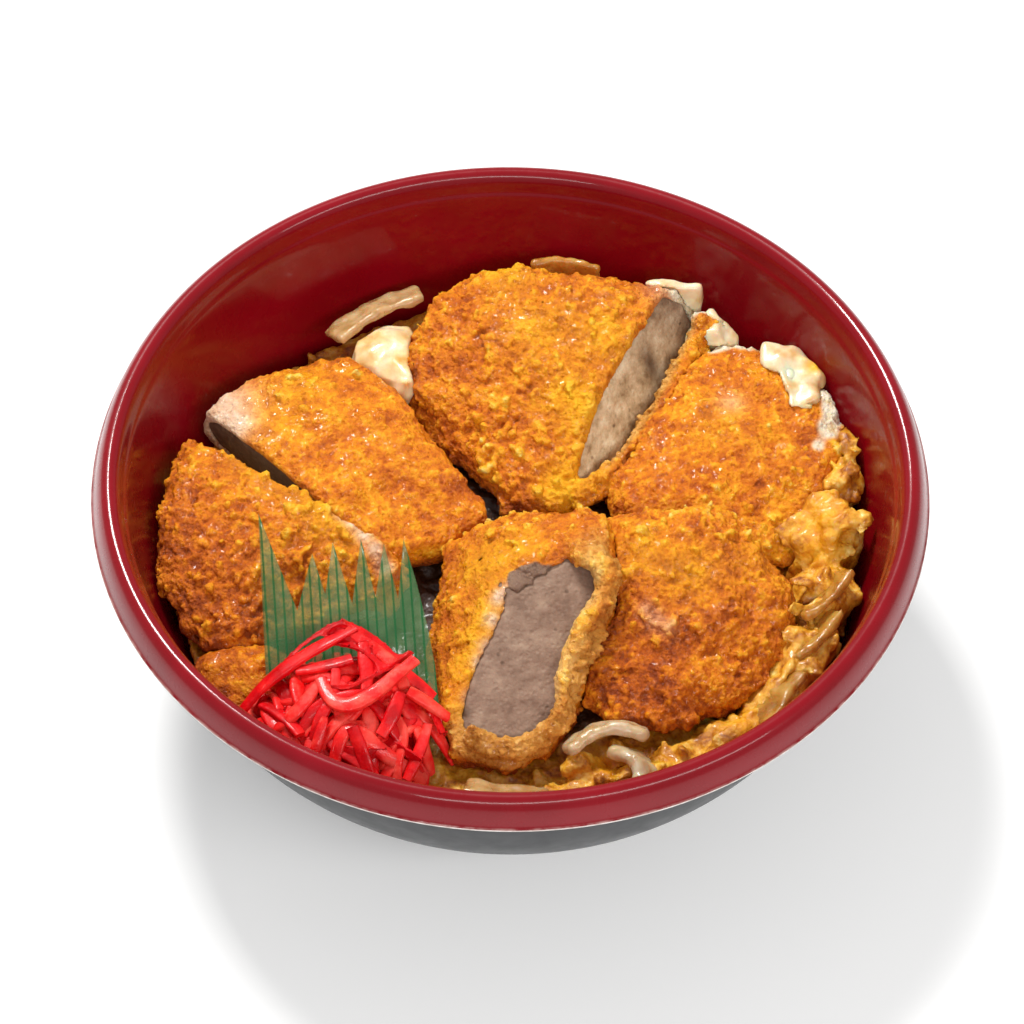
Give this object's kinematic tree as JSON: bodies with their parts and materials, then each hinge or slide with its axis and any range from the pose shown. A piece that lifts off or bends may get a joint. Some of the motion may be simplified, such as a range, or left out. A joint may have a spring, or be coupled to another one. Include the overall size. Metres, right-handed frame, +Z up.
{
  "type": "katsudon in a takeout bowl",
  "caption": "Breaded pork cutlet simmered with egg and onion on rice, with red pickled ginger and a green divider, in a round takeout bowl.",
  "frame": {"origin": "on the table under the middle of the bowl's foot", "axes": "+Z up out of the bowl, -Y towards the side with the ginger and the cut front piece"},
  "size_m": [0.178, 0.178, 0.062],
  "materials": {
    "bowl": "satin dark red film inside, satin black outside",
    "rice": "moist cooked grains",
    "egg": "soft simmered egg, moist",
    "crust": "fried breadcrumbs with a sweet soy glaze",
    "pork": "cut cooked meat, matt",
    "egg_white": "set egg white, glossy",
    "onion": "simmered onion, half see-through",
    "divider": "thin green film with darker stripes",
    "ginger": "wet red pickle"
  },
  "bodies": {
    "root": {"bowl": "bowl", "rice": "rice", "egg": "egg", "katsu_front": "crust", "katsu_back": "crust", "katsu_front_right": "crust", "katsu_right": "crust", "katsu_left_front": "crust", "katsu_left_back": "crust", "katsu_left_end": "crust", "pork_front": "pork", "pork_back": "pork", "pork_left_back": "pork", "pork_left_front": "pork", "egg_white_right": "egg_white", "egg_white_middle": "egg_white", "egg_white_crest": "egg_white", "egg_white_left": "egg_white", "onion_front_upper": "onion", "onion_front_ring": "onion", "onion_front_low": "onion", "onion_front_left": "onion", "onion_right_long": "onion", "onion_right_short": "onion", "onion_right_low": "onion", "onion_back": "onion", "onion_back_left": "onion", "divider": "divider", "ginger": "ginger"}
  },
  "joints": []
}
